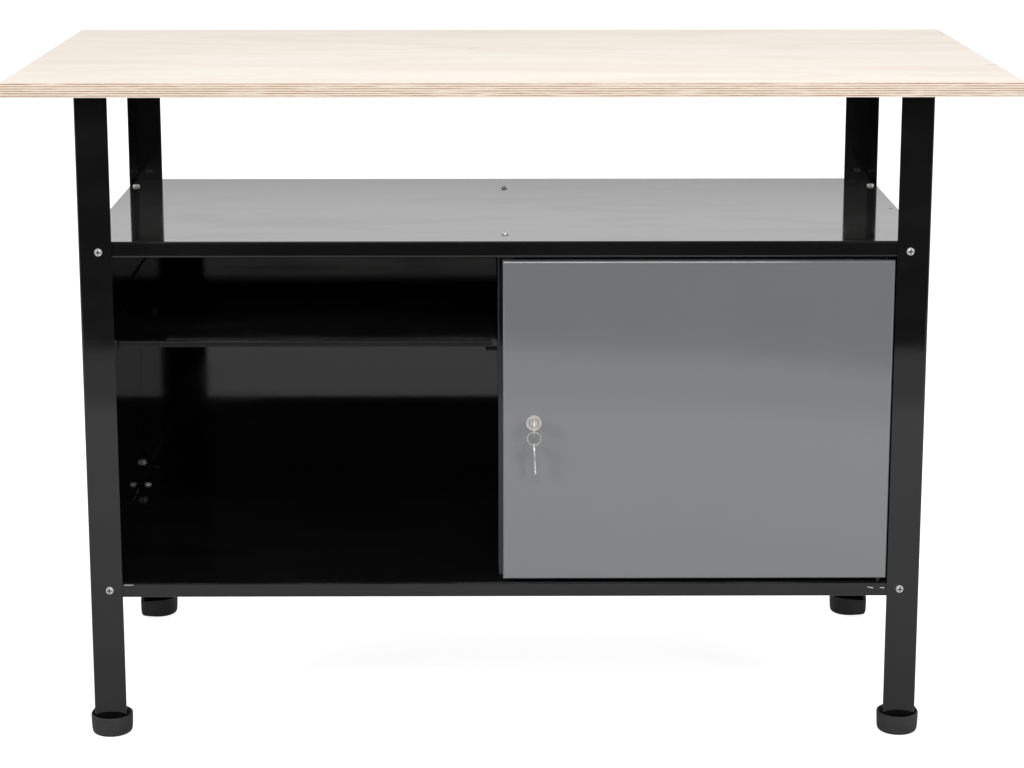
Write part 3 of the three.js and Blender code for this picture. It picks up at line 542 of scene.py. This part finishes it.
def key_blank(name, node, body, bow, along, across, hole):
    """A flat key from its outline: a round bow with a hole for the ring, a shoulder, and a blade with cut teeth.
    The outline is filled and given a small rounded edge, then laid in the plane of `along` and `across`."""
    thick, edge = 0.002, 0.0002
    open_at = math.asin(0.35)
    arc = np.linspace(open_at, 2 * np.pi - open_at, 48)
    teeth = [(0.0125, -0.0035), (0.014, -0.0022), (0.0158, -0.0022), (0.017, -0.003), (0.0182, -0.0014),
             (0.0202, -0.0014), (0.0215, -0.0027), (0.0228, -0.0019), (0.0248, -0.0019), (0.0262, -0.003),
             (0.0285, -0.0031), (0.032, 0.0), (0.0285, 0.0035)]
    outline = np.concatenate([np.stack([0.01 * np.cos(arc), 0.01 * np.sin(arc)], axis=-1), np.array(teeth)])
    turn = np.linspace(0, 2 * np.pi, 32, endpoint=False)
    ring_hole = np.stack([hole[0] + 0.0024 * np.cos(turn), hole[1] + 0.0024 * np.sin(turn)], axis=-1)
    curve = bpy.data.curves.new(name, "CURVE")
    curve.dimensions, curve.fill_mode = "2D", "BOTH"
    curve.extrude, curve.bevel_depth, curve.bevel_resolution = thick / 2 - edge, edge, 2
    curve.offset = -edge
    for line in (outline, ring_hole):
        spline = curve.splines.new("POLY")
        spline.points.add(len(line) - 1)
        spline.points.foreach_set("co", np.pad(line, ((0, 0), (0, 2))).astype(np.float32).ravel())
        spline.use_cyclic_u = True
    drawn = bpy.data.objects.new(name + "_outline", curve)
    scene.collection.objects.link(drawn)
    view = bpy.context.evaluated_depsgraph_get()
    mesh = bpy.data.meshes.new_from_object(drawn.evaluated_get(view))
    bpy.data.objects.remove(drawn)
    along, across = Vector(along), Vector(across)
    turned_to = Matrix((along, across, along.cross(across))).transposed().to_4x4()
    mesh.transform(Matrix.Translation(bow) @ turned_to)
    show(name, mesh, "nickel", body, node)


def keys():
    """The key in the lock, its bow edge-on to the front, and the spare that hangs from the ring with a slight lean."""
    low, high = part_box("key")
    bow = Vector(((low.x + high.x) / 2, low.y + 0.01, (low.z + high.z) / 2))
    key_blank("lock_key", "key", "lock", bow, (0, 1, 0), (0, 0, 1), (0.0, -0.006))
    low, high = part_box("key_ring")
    hang = Vector(((low.x + high.x) / 2, (low.y + high.y) / 2, low.z + 0.0009 - 0.0012))
    lean = math.radians(3.0)
    down = Vector((math.sin(lean), 0, -math.cos(lean)))
    key_blank("ring_key", "spare_key", "spare", hang + down * 0.006, down, (0, 1, 0), (-0.006, 0.0))


machine_bolts()
worktop_screws()
foot_cups()
plywood_board()
lock_face()
split_ring()
keys()


# Stage: white floor, soft light, camera

def studio_floor():
    """A flat white floor that runs far back. Well in front of the bench its colour darkens, painted shade for the light
    falling off there, and then it ends.
    """
    mesh = bpy.data.meshes.new("floor")
    mesh.from_pydata([(-20, -2.37, 0), (20, -2.37, 0), (20, 40, 0), (-20, 40, 0)], [], [(0, 1, 2, 3)])
    made, tree, shader, where = material("floor_white")
    # Painted shade: the floor's colour drops from 0.57 to 0.36 towards its front edge.
    near = ramp(tree, xyz(tree, where)["Y"], -1.98, -1.82)
    seen = add_node(tree, "LightPath").outputs["Is Camera Ray"]
    dress(tree, shader, Base_Color=mix(tree, near, (0.36, 0.36, 0.36, 1), (0.57, 0.57, 0.57, 1)), Roughness=0.9,
          Emission_Color=(1, 1, 1, 1), Emission_Strength=math_node(tree, "MULTIPLY", seen, 0.82))
    mesh.materials.append(made)
    floor = bpy.data.objects.new("floor", mesh)
    scene.collection.objects.link(floor)


def studio_world():
    """White to the camera; a white wall behind the bench, shaded low down; dim in front, with one bright strip."""
    world = bpy.data.worlds.new("studio")
    world.use_nodes = True
    tree = world.node_tree
    tree.nodes.clear()
    way = xyz(tree, add_node(tree, "TexCoord").outputs["Generated"])
    wall = mix(tree, ramp(tree, way["Z"], 0.147, 0.18), (0.54, 0.54, 0.54, 1), (1, 1, 1, 1))
    strip = math_node(tree, "SUBTRACT", ramp(tree, way["Z"], 0.16, 0.17), ramp(tree, way["Z"], 0.197, 0.203))
    front = mix(tree, strip, (0.035, 0.035, 0.035, 1), (0.9, 0.88, 0.86, 1))
    room = mix(tree, ramp(tree, way["Y"], -0.35, 0.1), front, wall)
    seen = add_node(tree, "LightPath").outputs["Is Camera Ray"]
    light = add_node(tree, "Background", {"Color": mix(tree, seen, room, (1, 1, 1, 1)), "Strength": 1.0})
    add_node(tree, "OutputWorld", {"Surface": light.outputs[0]})
    scene.world = world


def softbox(name, place, target, size, power, mirrored=True):
    """A rectangular lamp that faces a target; one that isn't mirrored leaves no bright patch on glossy paint."""
    data = bpy.data.lights.new(name, "AREA")
    data.shape = "RECTANGLE"
    data.size, data.size_y = size
    data.energy = power
    lamp = bpy.data.objects.new(name, data)
    lamp.location = place
    lamp.rotation_euler = (Vector(target) - Vector(place)).to_track_quat("-Z", "Y").to_euler()
    lamp.visible_glossy = mirrored
    scene.collection.objects.link(lamp)


def photo_camera():
    """The camera that fits the board's corners, the legs and the shelves in the photograph."""
    data = bpy.data.cameras.new("camera")
    data.sensor_width = 36.0
    data.lens = 88.6
    data.shift_y = -0.09
    data.clip_end = 60.0
    camera = bpy.data.objects.new("camera", data)
    pitch, yaw = math.radians(11.81), math.radians(0.375)
    ahead = Vector((math.sin(yaw) * math.cos(pitch), math.cos(yaw) * math.cos(pitch), -math.sin(pitch)))
    camera.location = (-0.0209, -3.2315, 1.1929)
    camera.rotation_euler = ahead.to_track_quat("-Z", "Y").to_euler()
    scene.collection.objects.link(camera)
    scene.camera = camera


studio_floor()
studio_world()
softbox("overhead", (0.35, -0.4, 3.2), (0.2, 0.0, 0.5), (3.2, 2.4), 16.0)
softbox("front_softbox", (0.0, -3.4, 3.0), (0.0, 0.0, 0.5), (2.0, 0.9), 60.0)
softbox("left_softbox", (-3.7, -2.85, 2.1), (0.0, -0.2, 0.5), (1.1, 1.4), 61.0, mirrored=False)
softbox("right_softbox", (2.9, -3.4, 2.1), (0.0, -0.2, 0.5), (1.1, 1.4), 61.0, mirrored=False)
photo_camera()
scene.view_settings.view_transform = "Standard"
